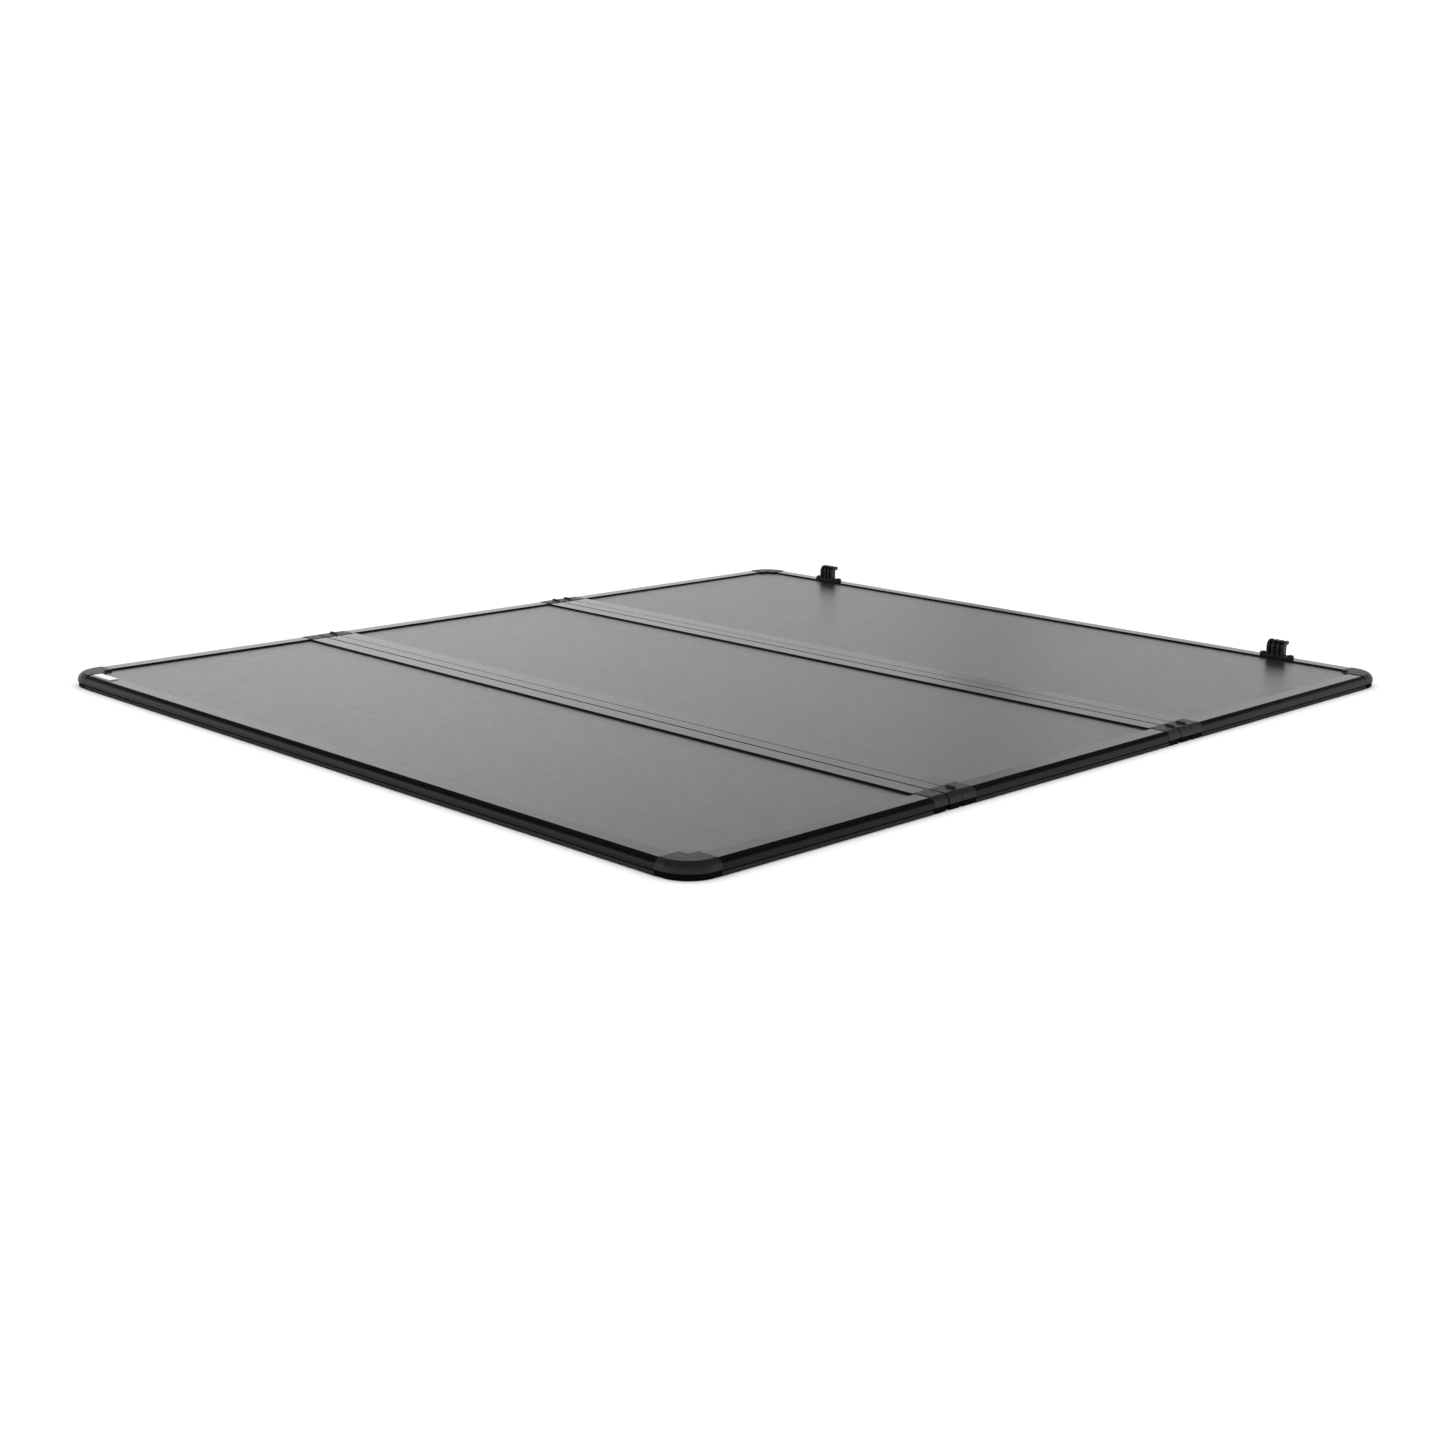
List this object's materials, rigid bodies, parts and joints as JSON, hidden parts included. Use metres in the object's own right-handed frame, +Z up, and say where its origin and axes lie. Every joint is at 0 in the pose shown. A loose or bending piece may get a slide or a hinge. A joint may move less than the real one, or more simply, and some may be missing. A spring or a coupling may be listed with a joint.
{
  "type": "tri-fold tonneau cover",
  "caption": "Hard tri-fold pickup bed cover: textured panels in powder-coated rails, folding on two hinges, with rubber edge seals, corner caps and strap hooks.",
  "frame": {"origin": "under the middle of the closed, flat cover, on the plane of the seals that rest on the bed rails", "axes": "+X to the passenger side, +Y to the cab end, +Z up"},
  "size_m": [1.563, 1.784, 0.0545],
  "materials": {
    "textured_skin": "pebbled semi-gloss",
    "powder_coat": "satin black powder coat",
    "liner_sheet": "matte painted sheet",
    "foam_core": "rigid foam board",
    "cap_plastic": "moulded, fine grain",
    "hook_plastic": "moulded nylon",
    "rubber_seal": "extruded rubber",
    "steel_pin": "ground",
    "black_screw": "black zinc",
    "clamp_steel": "black e-coat",
    "clamp_zinc": "bright zinc",
    "badge_metal": "brushed, blank"
  },
  "bodies": {
    "cab_panel": {"cab_skin": "textured_skin", "cab_core": "foam_core", "cab_liner": "liner_sheet", "cab_side_rail_left": "powder_coat", "cab_side_rail_right": "powder_coat", "cab_end_rail": "powder_coat", "cab_hinge_rail": "powder_coat", "cab_side_seals": "rubber_seal", "cab_end_seal": "rubber_seal", "cab_hinge_caps": "cap_plastic", "cab_hinge_feet": "rubber_seal", "corner_cap_cab_left": "cap_plastic", "corner_cap_cab_right": "cap_plastic", "corner_seals_cab": "rubber_seal", "cab_hinge_pins": "steel_pin", "strap_hook_left": "hook_plastic", "strap_hook_right": "hook_plastic", "hook_screws": "black_screw", "clamp_brackets": "clamp_steel", "clamp_pins": "clamp_zinc"},
    "front_link": {"front_link_rail": "powder_coat", "front_link_caps": "cap_plastic", "front_link_gasket": "rubber_seal", "front_link_feet": "rubber_seal"},
    "middle_panel": {"middle_skin": "textured_skin", "middle_core": "foam_core", "middle_liner": "liner_sheet", "middle_side_rail_left": "powder_coat", "middle_side_rail_right": "powder_coat", "middle_rear_hinge_rail": "powder_coat", "middle_front_hinge_rail": "powder_coat", "middle_side_seals": "rubber_seal", "middle_rear_hinge_caps": "cap_plastic", "middle_front_hinge_caps": "cap_plastic", "middle_hinge_feet": "rubber_seal", "middle_hinge_pins": "steel_pin"},
    "tailgate_panel": {"tailgate_skin": "textured_skin", "tailgate_core": "foam_core", "tailgate_liner": "liner_sheet", "tailgate_side_rail_left": "powder_coat", "tailgate_side_rail_right": "powder_coat", "tailgate_end_rail": "powder_coat", "tailgate_hinge_rail": "powder_coat", "tailgate_side_seals": "rubber_seal", "tailgate_end_seal": "rubber_seal", "tailgate_hinge_caps": "cap_plastic", "tailgate_hinge_feet": "rubber_seal", "rear_link_rail": "powder_coat", "rear_link_caps": "cap_plastic", "rear_link_gasket": "rubber_seal", "corner_cap_tailgate_left": "cap_plastic", "corner_cap_tailgate_right": "cap_plastic", "corner_seals_tailgate": "rubber_seal", "badge_plate": "badge_metal"},
    "clamp_left": {"clamp_bolt_left": "clamp_zinc"},
    "clamp_left_jaw": {"clamp_jaw_left": "clamp_steel"},
    "clamp_left_nut": {"clamp_nut_left": "clamp_zinc"},
    "clamp_right": {"clamp_bolt_right": "clamp_zinc"},
    "clamp_right_jaw": {"clamp_jaw_right": "clamp_steel"},
    "clamp_right_nut": {"clamp_nut_right": "clamp_zinc"}
  },
  "joints": [
    {"name": "front_hinge_at_cab_panel", "type": "hinge", "parent": "cab_panel", "child": "front_link", "pos_m": [0, 0.2515, 0.025], "axis": [-1, 0, 0], "range_deg": [0, 90]},
    {"name": "front_hinge_at_middle_panel", "type": "hinge", "parent": "front_link", "child": "middle_panel", "pos_m": [0, 0.2195, 0.025], "axis": [-1, 0, 0], "range_deg": [0, 90]},
    {"name": "rear_hinge", "type": "hinge", "parent": "middle_panel", "child": "tailgate_panel", "pos_m": [0, -0.345, 0.025], "axis": [-1, 0, 0], "range_deg": [0, 180]},
    {"name": "clamp_left_swing", "type": "hinge", "parent": "cab_panel", "child": "clamp_left", "pos_m": [-0.7105, 0.722, 0.0045], "axis": [-1, 0, 0], "range_deg": [-90, 0]},
    {"name": "clamp_left_jaw_slide", "type": "slide", "parent": "clamp_left", "child": "clamp_left_jaw", "axis": [0, 1, 0], "range_m": [0, 0.01]},
    {"name": "clamp_left_nut_spin", "type": "hinge", "parent": "clamp_left_jaw", "child": "clamp_left_nut", "pos_m": [-0.7105, 0.649, 0.0045], "axis": [0, 1, 0], "range_deg": [0, 720]},
    {"name": "clamp_right_swing", "type": "hinge", "parent": "cab_panel", "child": "clamp_right", "pos_m": [0.7105, 0.722, 0.0045], "axis": [-1, 0, 0], "range_deg": [-90, 0]},
    {"name": "clamp_right_jaw_slide", "type": "slide", "parent": "clamp_right", "child": "clamp_right_jaw", "axis": [0, 1, 0], "range_m": [0, 0.01]},
    {"name": "clamp_right_nut_spin", "type": "hinge", "parent": "clamp_right_jaw", "child": "clamp_right_nut", "pos_m": [0.7105, 0.649, 0.0045], "axis": [0, 1, 0], "range_deg": [0, 720]}
  ],
  "couplings": [
    {"joint": "clamp_left_nut_spin", "follows": "clamp_left_jaw_slide", "rad_per_m": 1256.6},
    {"joint": "clamp_right_nut_spin", "follows": "clamp_right_jaw_slide", "rad_per_m": 1256.6}
  ]
}
